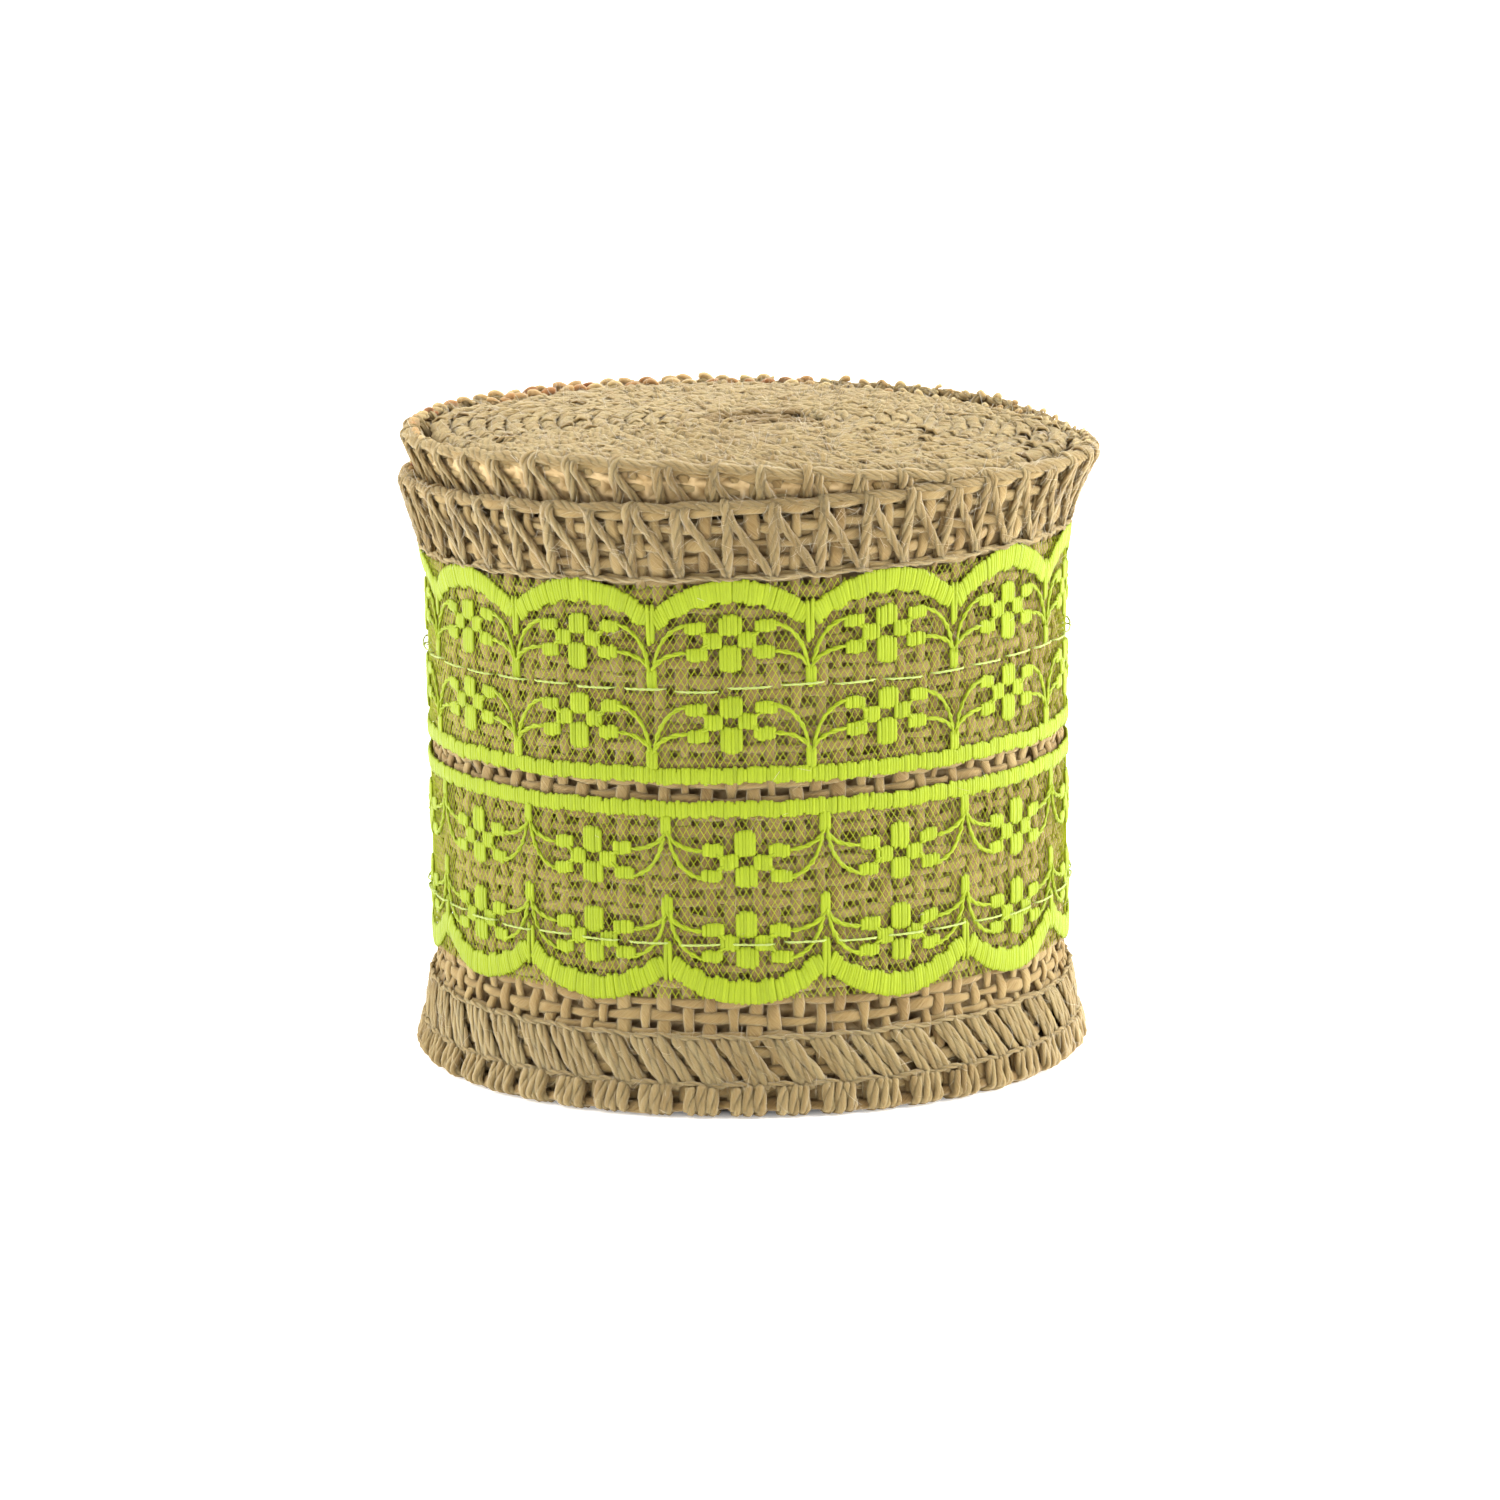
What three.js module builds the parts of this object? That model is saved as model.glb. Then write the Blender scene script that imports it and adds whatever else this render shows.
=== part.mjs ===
// A coreless roll of lace-trimmed jute ribbon, standing on its edge.
// Two metres of woven jute tape, overlocked along both edges, carry two scalloped lace strips that are
// each held by one line of stitching. The tape is wound clockwise, seen from above, from a small open
// core to a free end behind the roll. The last stretch is the loose tail, in three pieces that hinge
// open one after the other as the tape peels off.
// Millimetres, +Z up, origin at the centre of the base, front towards -Y.
import * as THREE from "three";

// The tape
const tapeWidth = 60; // height of the standing roll
const tapeLength = 2000;
const clothThickness = 0.85;
const overlockThickness = 0.4;
const overlockDepth = 7.5; // how far the edge stitches reach in from each edge
const overlockInset = 0.3; // the stitches end this far short of the cut edge
const laceThickness = 0.18;
const laceSpacing = 1.7; // bare cloth between the two straight lace edges
const laceRise = 1.5; // the middle of that bare strip lies this far above the middle of the tape
const laceHemGap = 0.25; // from the upper lace's scallops to the upper stitching
const stitchSize = 0.3; // thickness of the sewing thread
const stitchProud = 0.2; // how far it stands off the lace
const upperStitchUp = 9.4; // stitching line above the upper lace's straight edge
const lowerStitchDown = 14; // stitching line below the lower lace's straight edge
const layerGap = 0.07; // clearance between pieces that lie on each other

// The winding
const coreRadius = 4.7; // middle of the cloth at the inner end
const turnSlack = 0.21; // left free between one turn's trims and the back of the next
const coreShift = new THREE.Vector2(2, 2.2); // the core sits a little off centre, right and back
const endAngle = 75; // degrees: where the free end lies, behind the roll
const fineSections = 24; // sections in each of the outer turns
const coarseSections = 12; // and in each of the inner ones
const fineTurns = 5;
const topFlare = 2.4; // the thick upper hems lean out by this at the outermost turn
const bottomFlare = 1.2;
const backFlare = 0; // share of the flare that is left at the back, where the hems stand upright
const flareHalfAngle = 80; // degrees each side of the front with full flare
const flareFade = 25; // degrees over which it fades

// The coil inside the outermost turn has crept up and leans
const coilLift = 1.75;
const coilTilt = 1.45;
const coilTiltAngle = 200; // degrees: the side that stands highest
const liftStart = 300; // degrees in from the free end, where the tape starts to climb
const liftEnd = 465;

// The loose tail
const tailPieces = 3;
const tailPieceAngle = 30; // degrees of the turn that each piece covers
const seamGap = 0.3;

const degree = Math.PI / 180;
const trimThickness = Math.max(overlockThickness, laceThickness + layerGap + stitchProud);
const turnPitch = clothThickness + layerGap + trimThickness + turnSlack;
const outerRadius = Math.sqrt(coreRadius ** 2 + (tapeLength * turnPitch) / Math.PI);
const woundAngle = ((outerRadius - coreRadius) / turnPitch) * 360; // degrees from the core to the free end
const hemBottom = overlockDepth;
const hemTop = tapeWidth - overlockDepth;
const lowerLaceTop = tapeWidth / 2 + laceRise - laceSpacing / 2;
const upperLaceBottom = tapeWidth / 2 + laceRise + laceSpacing / 2;
const laceWidth = hemTop - laceHemGap - upperLaceBottom; // both laces are as wide as fits above

// Radius of the middle of the cloth, "back" degrees in from the free end.
function radiusAt(back) {
  return outerRadius - (turnPitch * back) / 360;
}

// 1 on the outermost turn and 0 at the core.
function outwardShare(back) {
  return (radiusAt(back) - coreRadius) / (outerRadius - coreRadius);
}

// Share of the full flare at a direction: all of it round the front and less behind.
function flareShare(angle) {
  const fromFront = Math.abs(THREE.MathUtils.euclideanModulo(angle + 90 + 180, 360) - 180);
  const fade = THREE.MathUtils.smoothstep(fromFront, flareHalfAngle, flareHalfAngle + flareFade);
  return THREE.MathUtils.lerp(1, backFlare, fade);
}

// 0 on the outermost turn, which stands level on the base, and 1 on the coil that has crept up.
function creepShare(back) {
  return THREE.MathUtils.smoothstep(back, liftStart, liftEnd);
}

// How far a hem leans out at a height on the tape. Only the turn on the base is splayed at the bottom.
function flareAt(height, back) {
  const top = (topFlare * Math.max(0, height - hemTop)) / overlockDepth;
  const bottom = (bottomFlare * Math.max(0, hemBottom - height)) / overlockDepth;
  return (top * outwardShare(back) + bottom * (1 - creepShare(back))) * flareShare(endAngle + back);
}

// How far the tape stands above the base.
function liftAt(back) {
  const lean = Math.cos((endAngle + back - coilTiltAngle) * degree);
  return (coilLift + coilTilt * lean * outwardShare(back)) * creepShare(back);
}

// Place of a point "out" from the middle of the cloth and "height" up the tape.
function wound(out, height, back) {
  const angle = (endAngle + back) * degree;
  const radius = radiusAt(back) + out + flareAt(height, back);
  const inward = 1 - outwardShare(back);
  return new THREE.Vector3(
    coreShift.x * inward + radius * Math.cos(angle),
    coreShift.y * inward + radius * Math.sin(angle),
    height + liftAt(back),
  );
}

// Sections of a stretch of tape, from its inner end to its outer end, as degrees in from the free end.
// Every turn has its sections at the same directions, so that the flat facets nest.
function sectionsBetween(innerEnd, outerEnd) {
  const inside = [];
  for (let back = 0; back < woundAngle; ) {
    inside.push(back);
    back += 360 / (back < fineTurns * 360 ? fineSections : coarseSections);
  }
  const kept = inside.filter((back) => back > outerEnd + 1 && back < innerEnd - 1);
  return [outerEnd, ...kept, innerEnd].reverse();
}

// Winds a strip onto the roll: the outline, anticlockwise, is repeated at every section. Each facet is
// split from its lower inner-end corner, so that the faces of neighbouring layers stay parallel.
function windStrip(outline, sections) {
  const count = outline.length;
  const points = sections.flatMap((back) => outline.map((corner) => wound(corner.x, corner.y, back)));
  const faces = [];
  for (let step = 0; step < sections.length - 1; step++) {
    for (let side = 0; side < count; side++) {
      const next = (side + 1) % count;
      const [a, b] = [step * count + side, step * count + next];
      const [c, d] = [b + count, a + count];
      faces.push(...(outline[side].y <= outline[next].y ? [a, b, c, a, c, d] : [a, b, d, b, c, d]));
    }
  }
  const last = (sections.length - 1) * count;
  for (const [a, b, c] of THREE.ShapeUtils.triangulateShape(outline, [])) {
    faces.push(a, c, b, last + a, last + b, last + c);
  }
  const strip = new THREE.BufferGeometry().setFromPoints(points);
  strip.setIndex(faces);
  strip.computeVertexNormals();
  return strip;
}

function outlineOf(points) {
  return points.map(([out, height]) => new THREE.Vector2(out, height));
}

function band(inside, outside, low, high) {
  return outlineOf([
    [inside, low],
    [outside, low],
    [outside, high],
    [inside, high],
  ]);
}

const clothFace = clothThickness / 2;
const trimInside = clothFace + layerGap;
const overlockOutside = trimInside + overlockThickness;
const laceOutside = trimInside + laceThickness;
const stitchInside = laceOutside + layerGap;

const clothOutline = outlineOf([
  [-clothFace, 0],
  [clothFace, 0],
  [clothFace, hemBottom],
  [clothFace, hemTop],
  [clothFace, tapeWidth],
  [-clothFace, tapeWidth],
  [-clothFace, hemTop],
  [-clothFace, hemBottom],
]);

function stitchOutline(height) {
  return outlineOf([
    [stitchInside, height - stitchSize / 2],
    [stitchInside + stitchProud, height],
    [stitchInside, height + stitchSize / 2],
  ]);
}

const juteCloth = new THREE.MeshStandardMaterial({ color: 0xb89d70, roughness: 0.95, metalness: 0 });
const juteYarn = new THREE.MeshStandardMaterial({ color: 0xc4a97b, roughness: 0.95, metalness: 0 });
const limeLace = new THREE.MeshStandardMaterial({ color: 0xbfd438, roughness: 0.6, metalness: 0 });
const paleThread = new THREE.MeshStandardMaterial({ color: 0xdbe6a0, roughness: 0.5, metalness: 0 });

const layers = [
  { name: "jute_cloth", outline: clothOutline, material: juteCloth },
  {
    name: "upper_overlock",
    outline: band(trimInside, overlockOutside, hemTop + layerGap, tapeWidth - overlockInset),
    material: juteYarn,
  },
  {
    name: "lower_overlock",
    outline: band(trimInside, overlockOutside, overlockInset, hemBottom - layerGap),
    material: juteYarn,
  },
  {
    name: "upper_lace",
    outline: band(trimInside, laceOutside, upperLaceBottom, upperLaceBottom + laceWidth),
    material: limeLace,
  },
  {
    name: "lower_lace",
    outline: band(trimInside, laceOutside, lowerLaceTop - laceWidth, lowerLaceTop),
    material: limeLace,
  },
  {
    name: "upper_lace_stitching",
    outline: stitchOutline(upperLaceBottom + upperStitchUp),
    material: paleThread,
  },
  {
    name: "lower_lace_stitching",
    outline: stitchOutline(lowerLaceTop - lowerStitchDown),
    material: paleThread,
  },
];

// The wound part runs to the first hinge, and the tail pieces follow it with a seam between each two.
function stretches() {
  const half = (seamGap / 2 / outerRadius) / degree;
  const tailAngle = tailPieces * tailPieceAngle;
  const found = [{ name: "roll", from: woundAngle, to: tailAngle + half }];
  for (let i = 1; i <= tailPieces; i++) {
    const last = i === tailPieces;
    const from = tailAngle - (i - 1) * tailPieceAngle - half;
    found.push({ name: `tail_${i}`, from, to: last ? 0 : tailAngle - i * tailPieceAngle + half });
  }
  return found;
}

const ribbon = new THREE.Group();
for (const stretch of stretches()) {
  const sections = sectionsBetween(stretch.from, stretch.to);
  for (const layer of layers) {
    const mesh = new THREE.Mesh(windStrip(layer.outline, sections), layer.material);
    mesh.name = `${layer.name}_${stretch.name}`;
    ribbon.add(mesh);
  }
}

// The origin is the middle of the base's bounding rectangle.
const middle = new THREE.Box3().setFromObject(ribbon, true).getCenter(new THREE.Vector3());
ribbon.position.set(-middle.x, -middle.y, 0);

const roll = new THREE.Group();
roll.add(ribbon);

export default roll;
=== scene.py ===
import math

import bpy
import numpy as np
from mathutils import Matrix


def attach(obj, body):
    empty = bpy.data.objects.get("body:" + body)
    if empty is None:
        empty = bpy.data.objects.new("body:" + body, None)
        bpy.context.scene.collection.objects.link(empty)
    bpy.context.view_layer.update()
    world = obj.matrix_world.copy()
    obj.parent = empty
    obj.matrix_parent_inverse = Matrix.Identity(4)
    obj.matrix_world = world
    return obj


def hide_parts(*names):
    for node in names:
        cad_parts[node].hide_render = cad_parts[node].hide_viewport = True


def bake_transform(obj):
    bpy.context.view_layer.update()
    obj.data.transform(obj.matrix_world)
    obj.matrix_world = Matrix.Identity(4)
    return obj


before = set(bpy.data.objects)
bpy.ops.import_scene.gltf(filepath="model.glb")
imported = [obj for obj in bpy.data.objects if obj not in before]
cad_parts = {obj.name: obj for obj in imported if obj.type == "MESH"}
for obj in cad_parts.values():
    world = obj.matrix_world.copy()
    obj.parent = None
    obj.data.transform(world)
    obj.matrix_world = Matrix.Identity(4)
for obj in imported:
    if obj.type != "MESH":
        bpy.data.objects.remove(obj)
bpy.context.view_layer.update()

print("frame loaded")

# A roll of jute ribbon with two lace strips. Everything is worked out on the tape: "along" is the
# distance from the free end, "height" the distance up the tape and "out" the distance out from the
# middle of the cloth, all in millimetres. onTape carries such a point to its place in the roll.

roll = {
    "width": 60.0,
    "length": 2000.0,
    "coreRadius": 4.7,
    "pitch": 1.58,  # from one turn to the next
    "freeEndAngle": 75.0,  # degrees, anticlockwise from +X
    "centre": (0.354, 0.684),
    "coreShift": (1.9, 3.2),  # the open core lies right of the middle and behind it
    "coreOval": 0.25,  # share by which the core is wider from left to right
    "curl": 43.0,  # the inner end lies curled inside the core, lower than the rest
    "curlDip": 0.4,
    "topFlare": 2.5,  # how far the thick upper hem leans out on the outermost turn
    "leftFlare": 0.16,  # share that it leans further on the left
    "rightFlare": 0.62,  # and at the very edge on the right
    "raisedFlare": 0.6,  # and where the second turn stands clear of the first
    "bottomFlare": 1.3,
    "bottomCorner": 0.4,  # share by which it is wider midway between front and side
    "footFlare": 0.45,  # and over the foot, the lowest part, which the table presses out
    "foot": 2.5,
    "backFlare": 0.2,
    "hem": 7.5,
    "clothOut": -0.2,
}
# How far the upper edge stands above 60 mm, by degrees in from the free end. The first turn sits level
# on its lower edge, and the coil inside it has crept up.
creep = {
    "degrees": [-20, 0, 60, 105, 150, 195, 225, 245, 262, 280, 300, 313, 322, 332, 360, 390,
                420, 450, 470, 484, 504, 519, 531, 547, 563, 581, 600, 625, 650, 690, 735, 780],
    "heights": [-1.2, -1.3, -1.6, -1.9, -1.0, 0.0, 0.6, 0.9, 0.7, 0.2, 0.0, 1.1, 1.8, 1.8, 2.0, 2.3,
                2.6, 2.6, 2.4, 2.5, 3.1, 3.6, 3.7, 3.4, 2.8, 2.0, 1.0, 0.1, 0.1, 1.1, 2.0, 2.5],
    "repeatFrom": 465,  # from here the rise repeats each turn
    "joinHeight": 2.7,
    "mean": 2.6,
}

outerRadius = math.sqrt(roll["coreRadius"] ** 2 + roll["length"] * roll["pitch"] / math.pi)
woundDegrees = (outerRadius - roll["coreRadius"]) / roll["pitch"] * 360


# Radius of the middle of the cloth: it falls by one pitch each turn.
def radiusAt(back):
    return outerRadius - roll["pitch"] * back / 360


# 1 on the outermost turn, 0 at the core and inside it.
def outward(back):
    return np.maximum(radiusAt(back) - roll["coreRadius"], 0) / (outerRadius - roll["coreRadius"])


# The cubic 3t^2 - 2t^3 between two limits.
def ease(x, low, high):
    t = np.clip((x - low) / (high - low), 0, 1)
    return t * t * (3 - 2 * t)


degreeTable = np.linspace(-30, woundDegrees + 780, 24000)
alongTable = np.concatenate([[0], np.cumsum(np.diff(degreeTable) * math.pi / 180 * radiusAt(degreeTable[1:]))])
alongTable -= np.interp(0, degreeTable, alongTable)


# Degrees in from the free end, from the distance along the tape: the summed arc length, inverted.
def backAt(along):
    return np.interp(along, alongTable, degreeTable)


def alongAt(back):
    return np.interp(back, degreeTable, alongTable)


# How far the upper edge is raised. Inside the second turn its rise repeats each turn, smoothed towards
# its mean.
def creepAt(back):
    start, mean = creep["repeatFrom"], creep["mean"]
    inner = start + np.mod(back - start, 360)
    first = np.interp(back, creep["degrees"], creep["heights"])
    later = np.interp(inner, creep["degrees"] + [start + 360], creep["heights"] + [creep["joinHeight"]])
    later = mean + (later - mean) * np.clip(outward(back), 0.25, 1) ** 1.5
    return np.where(back < creep["degrees"][-1], first, later)


# The middle of the cloth, as a point in the roll: a spiral whose hems lean out, raised by the creep. On the
# first turn only the upper part is raised, by the square of the height, so that it stands on its lower edge.
def clothPoint(back, height):
    width, hem = roll["width"], roll["hem"]
    angle = np.radians(roll["freeEndAngle"] + back)
    fromFront = np.abs(np.mod(roll["freeEndAngle"] + back + 270, 360) - 180)
    side = 1 + (roll["backFlare"] - 1) * ease(fromFront, 95, 135)
    edge = np.clip((height - width + hem) / hem, 0, 1.2)
    lean = (1 + roll["rightFlare"] * np.clip(np.cos(angle), 0, 1) ** 2 * edge
            + roll["leftFlare"] * np.clip(-np.cos(angle), 0, 1) ** 2)
    lean = lean + roll["raisedFlare"] * ease(back, 400, 450) * (1 - ease(back, 590, 680))
    top = roll["topFlare"] * np.clip((height - width + 12) / 12, 0, 1.2) ** 1.5
    bottom = (roll["bottomFlare"] * (1 + roll["bottomCorner"] * np.sin(2 * angle) ** 2)
              * np.clip((hem + 3 - height) / (hem + 3), 0, 1.2) ** 1.15)
    bottom = bottom + roll["footFlare"] * np.clip((roll["foot"] - height) / roll["foot"], 0, 1.2)
    crept = ease(back, 290, 465)
    radius = radiusAt(back) + side * (top * lean * outward(back) ** 0.6 + bottom * (1 - crept))
    inward = np.clip(1 - outward(back), 0, 1) ** 1.3
    oval = 1 + roll["coreOval"] * np.clip(1 - outward(back), 0, 1) ** 4
    rise = creepAt(back) - roll["curlDip"] * ease(radiusAt(back), 5.6, 3.6)
    share = crept + (1 - crept) * np.clip(height / width, 0, 1.1) ** 2
    return np.stack([
        roll["centre"][0] + roll["coreShift"][0] * inward + oval * radius * np.cos(angle),
        roll["centre"][1] + roll["coreShift"][1] * inward + radius * np.sin(angle),
        height + np.maximum(rise * share, -0.04 * height),
    ], -1)


def unit(v):
    return v / np.maximum(np.linalg.norm(v, axis=-1, keepdims=True), 1e-12)


# A point of the tape in the roll, with the cloth's outward, lengthwise and upward directions there, from
# differences of the cloth's surface over a tenth of a millimetre.
def onTape(along, out, height):
    along, out, height = np.broadcast_arrays(np.asarray(along, float), out, height)
    here = clothPoint(backAt(along), height)
    length = unit(clothPoint(backAt(along + 0.1), height) - here)
    up = unit(clothPoint(backAt(along), height + 0.1) - here)
    away = unit(np.cross(up, length)) * -1
    flat = away[..., :2] * (here[..., :2] - np.array(roll["centre"]))
    away = away * np.where(flat.sum(-1, keepdims=True) < 0, -1, 1)
    return here + (out + roll["clothOut"])[..., None] * away, away, length, up


# Five sines of random phase and wavelength, summed: a slow irregular run of numbers, spread about 1.
def wander(rng, rows, along, shortest, longest):
    along = np.broadcast_to(along, (rows, np.shape(along)[-1]))
    total = np.zeros(along.shape)
    for _ in range(5):
        wave = rng.uniform(shortest, longest, (rows, 1))
        total += np.sin(2 * math.pi * (along / wave + rng.uniform(0, 1, (rows, 1))))
    return total / 1.6


# Distance along each path from its first point: the summed lengths of its straight parts.
def runAlong(path):
    lengths = np.linalg.norm(np.diff(path, axis=1), axis=-1)
    return np.concatenate([np.zeros((len(path), 1)), np.cumsum(lengths, 1)], 1)


# Tubes along many paths at once: ring = centre + cos(a) width/2 side + sin(a) depth/2 (tangent x side),
# with the end rings drawn in and closed. The uv is millimetres along the tube and the share round it.
def tubes(centre, side, width, depth, sides=6, tone=0.5, tip=0.45):
    n, m = centre.shape[:2]
    tangent = unit(np.gradient(centre, axis=1))
    side = unit(side - (side * tangent).sum(-1, keepdims=True) * tangent)
    other = np.cross(tangent, side)
    shrink = np.ones(m)
    shrink[0] = shrink[-1] = tip
    width, depth = np.broadcast_to(width, (n, m)) * shrink, np.broadcast_to(depth, (n, m)) * shrink
    turn = np.arange(sides) * 2 * math.pi / sides
    ring = centre[:, :, None] + 0.5 * (
        np.cos(turn)[None, None, :, None] * (width[..., None, None] * side[:, :, None])
        + np.sin(turn)[None, None, :, None] * (depth[..., None, None] * other[:, :, None]))
    index = np.arange(n * m * sides).reshape(n, m, sides)
    after = np.roll(index, -1, 2)
    quads = np.stack([index[:, :-1], after[:, :-1], after[:, 1:], index[:, 1:]], -1).reshape(-1, 4)
    caps = np.concatenate([index[:, 0, ::-1], index[:, -1]])
    run = runAlong(centre)
    u = np.broadcast_to(run[:, :, None], index.shape)
    v = np.broadcast_to(np.arange(sides) / sides, index.shape)
    step = 1 / sides
    quadUv = np.stack([
        np.stack([u[:, :-1], v[:, :-1]], -1), np.stack([u[:, :-1], v[:, :-1] + step], -1),
        np.stack([u[:, 1:], v[:, 1:] + step], -1), np.stack([u[:, 1:], v[:, 1:]], -1)], -2).reshape(-1, 2)
    capUv = np.stack([u.ravel()[caps], v.ravel()[caps]], -1).reshape(-1, 2)
    shade = np.broadcast_to(np.reshape(tone, (-1, 1, 1)), (n, m, sides))
    return {"points": ring.reshape(-1, 3), "faces": [quads, caps], "uv": [quadUv, capUv], "tone": shade.ravel()}


# Several parts as one: their points one after another, with the faces counted on.
def together(parts):
    parts = [p for p in parts if len(p["points"])]
    faces, uv, base = [], [], 0
    for part in parts:
        faces += [f + base for f in part["faces"]]
        uv += part["uv"]
        base += len(part["points"])
    return {"points": np.concatenate([p["points"] for p in parts]), "faces": faces, "uv": uv,
            "tone": np.concatenate([p["tone"] for p in parts])}


# A mesh piece in metres, with its uv in "yarn" and its yarn's shade in "tone".
def addPiece(name, part, material):
    mesh = bpy.data.meshes.new(name)
    mesh.vertices.add(len(part["points"]))
    mesh.vertices.foreach_set("co", (part["points"] / 1000).astype(np.float32).ravel())
    counts = np.concatenate([np.full(len(f), f.shape[1]) for f in part["faces"]])
    corners = np.concatenate([f.ravel() for f in part["faces"]])
    mesh.loops.add(len(corners))
    mesh.loops.foreach_set("vertex_index", corners.astype(np.int32))
    mesh.polygons.add(len(counts))
    mesh.polygons.foreach_set("loop_start", np.concatenate([[0], np.cumsum(counts)[:-1]]).astype(np.int32))
    mesh.polygons.foreach_set("loop_total", counts.astype(np.int32))
    mesh.polygons.foreach_set("use_smooth", np.ones(len(counts), bool))
    mesh.update(calc_edges=True)
    layer = mesh.uv_layers.new(name="yarn")
    layer.data.foreach_set("uv", np.concatenate(part["uv"]).astype(np.float32).ravel())
    tone = mesh.attributes.new("tone", "FLOAT", "POINT")
    tone.data.foreach_set("value", part["tone"].astype(np.float32))
    mesh.materials.append(material)
    piece = bpy.data.objects.new(name, mesh)
    bpy.context.scene.collection.objects.link(piece)
    return piece


# An sRGB hex colour as linear RGBA.
def linear(code):
    parts = [int(code[i:i + 2], 16) / 255 for i in (1, 3, 5)]
    return [c / 12.92 if c <= 0.04045 else ((c + 0.055) / 1.055) ** 2.4 for c in parts] + [1]


# Adds a node, sets its values and sockets, and links what is given as (node, socket).
def addNode(tree, kind, links=None, values=None, **settings):
    node = tree.nodes.new(kind)
    for key, value in settings.items():
        setattr(node, key, value)
    for key, value in (values or {}).items():
        node.inputs[key].default_value = value
    for key, (source, socket) in (links or {}).items():
        tree.links.new(source.outputs[socket], node.inputs[key])
    return node


def newMaterial(name, roughness, sheen, depth=0.0, specular=0.25, sheenTint="#e8d9b6"):
    material = bpy.data.materials.new(name)
    material.use_nodes = True
    tree = material.node_tree
    shader = tree.nodes["Principled BSDF"]
    shader.inputs["Roughness"].default_value = roughness
    shader.inputs["Specular IOR Level"].default_value = specular
    shader.inputs["Sheen Weight"].default_value = sheen
    shader.inputs["Sheen Roughness"].default_value = 0.6
    shader.inputs["Sheen Tint"].default_value = linear(sheenTint)
    if depth:  # light passes a little way through loose fibre
        shader.inputs["Subsurface Weight"].default_value = 0.6
        shader.inputs["Subsurface Radius"].default_value = (1.0, 0.9, 0.75)
        shader.inputs["Subsurface Scale"].default_value = depth
    return material, tree, shader


def setRamp(node, stops):
    ramp = node.color_ramp
    while len(ramp.elements) < len(stops):
        ramp.elements.new(0.5)
    for element, (place, code) in zip(ramp.elements, stops):
        element.position = place
        element.color = linear(code)


# Spun jute: dull, tan to straw, with long fibres that run round the yarn in a slow twist of 4.5 mm. There
# are about 22 streaks round a yarn, 0.13 mm wide, which is coarser than real bast fibre so that they show.
def spunJute(name, stops, gain=1.0):
    material, tree, shader = newMaterial(name, 0.95, 0.25, 0.0009, 0.1)
    uv = addNode(tree, "ShaderNodeUVMap", uv_map="yarn")
    split = addNode(tree, "ShaderNodeSeparateXYZ", {"Vector": (uv, "UV")})
    tone = addNode(tree, "ShaderNodeAttribute", attribute_name="tone")
    twist = addNode(tree, "ShaderNodeMath", {0: (split, "X"), 2: (split, "Y")}, {1: 0.22},
                    operation="MULTIPLY_ADD")
    across = addNode(tree, "ShaderNodeMath", {0: (twist, 0)}, {1: 22.0}, operation="MULTIPLY")
    slow = addNode(tree, "ShaderNodeMath", {0: (split, "X")}, {1: 0.8}, operation="MULTIPLY")
    number = addNode(tree, "ShaderNodeMath", {0: (tone, "Fac")}, {1: 91.0}, operation="MULTIPLY")
    place = addNode(tree, "ShaderNodeCombineXYZ", {"X": (slow, 0), "Y": (across, 0), "Z": (number, 0)})
    fibre = addNode(tree, "ShaderNodeTexNoise", {"Vector": (place, 0)},
                    {"Scale": 1.0, "Detail": 3.0, "Roughness": 0.6})
    body = addNode(tree, "ShaderNodeTexCoord")
    patch = addNode(tree, "ShaderNodeTexNoise", {"Vector": (body, "Object")}, {"Scale": 260.0, "Detail": 2.0})
    shade = addNode(tree, "ShaderNodeMath", {0: (fibre, 0), 2: (tone, "Fac")}, {1: 0.5 * gain},
                    operation="MULTIPLY_ADD")
    shade = addNode(tree, "ShaderNodeMath", {0: (patch, 0), 2: (shade, 0)}, {1: 0.3 * gain},
                    operation="MULTIPLY_ADD")
    shade = addNode(tree, "ShaderNodeMath", {0: (shade, 0)}, {1: 0.4 * gain}, operation="SUBTRACT")
    ramp = addNode(tree, "ShaderNodeValToRGB", {"Fac": (shade, 0)})
    setRamp(ramp, stops)
    bump = addNode(tree, "ShaderNodeBump", {"Height": (fibre, 0)}, {"Strength": 0.7, "Distance": 0.0003})
    tree.links.new(ramp.outputs[0], shader.inputs["Base Color"])
    tree.links.new(bump.outputs[0], shader.inputs["Normal"])
    return material


juteRamps = {
    "weaving": [(0.0, "#5d462a"), (0.3, "#876e46"), (0.6, "#9c8559"), (1.0, "#b59e70")],
    "overlock": [(0.0, "#644e2f"), (0.3, "#846e48"), (0.6, "#958159"), (1.0, "#a5946b")],
    "knot": [(0.0, "#854f2c"), (0.3, "#a0744a"), (0.6, "#ad8e60"), (1.0, "#bda677")],
    "fuzz": [(0.0, "#8d6f40"), (0.6, "#b59c6c"), (1.0, "#d3bf92")],
}
jute = spunJute("natural_spun_jute", juteRamps["weaving"], 1.4)
juteSoft = spunJute("soft_overlock_jute", juteRamps["overlock"])
juteKnot = spunJute("reddish_jute_knot", juteRamps["knot"])
juteFuzz = spunJute("loose_jute_fibre", juteRamps["fuzz"])


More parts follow.
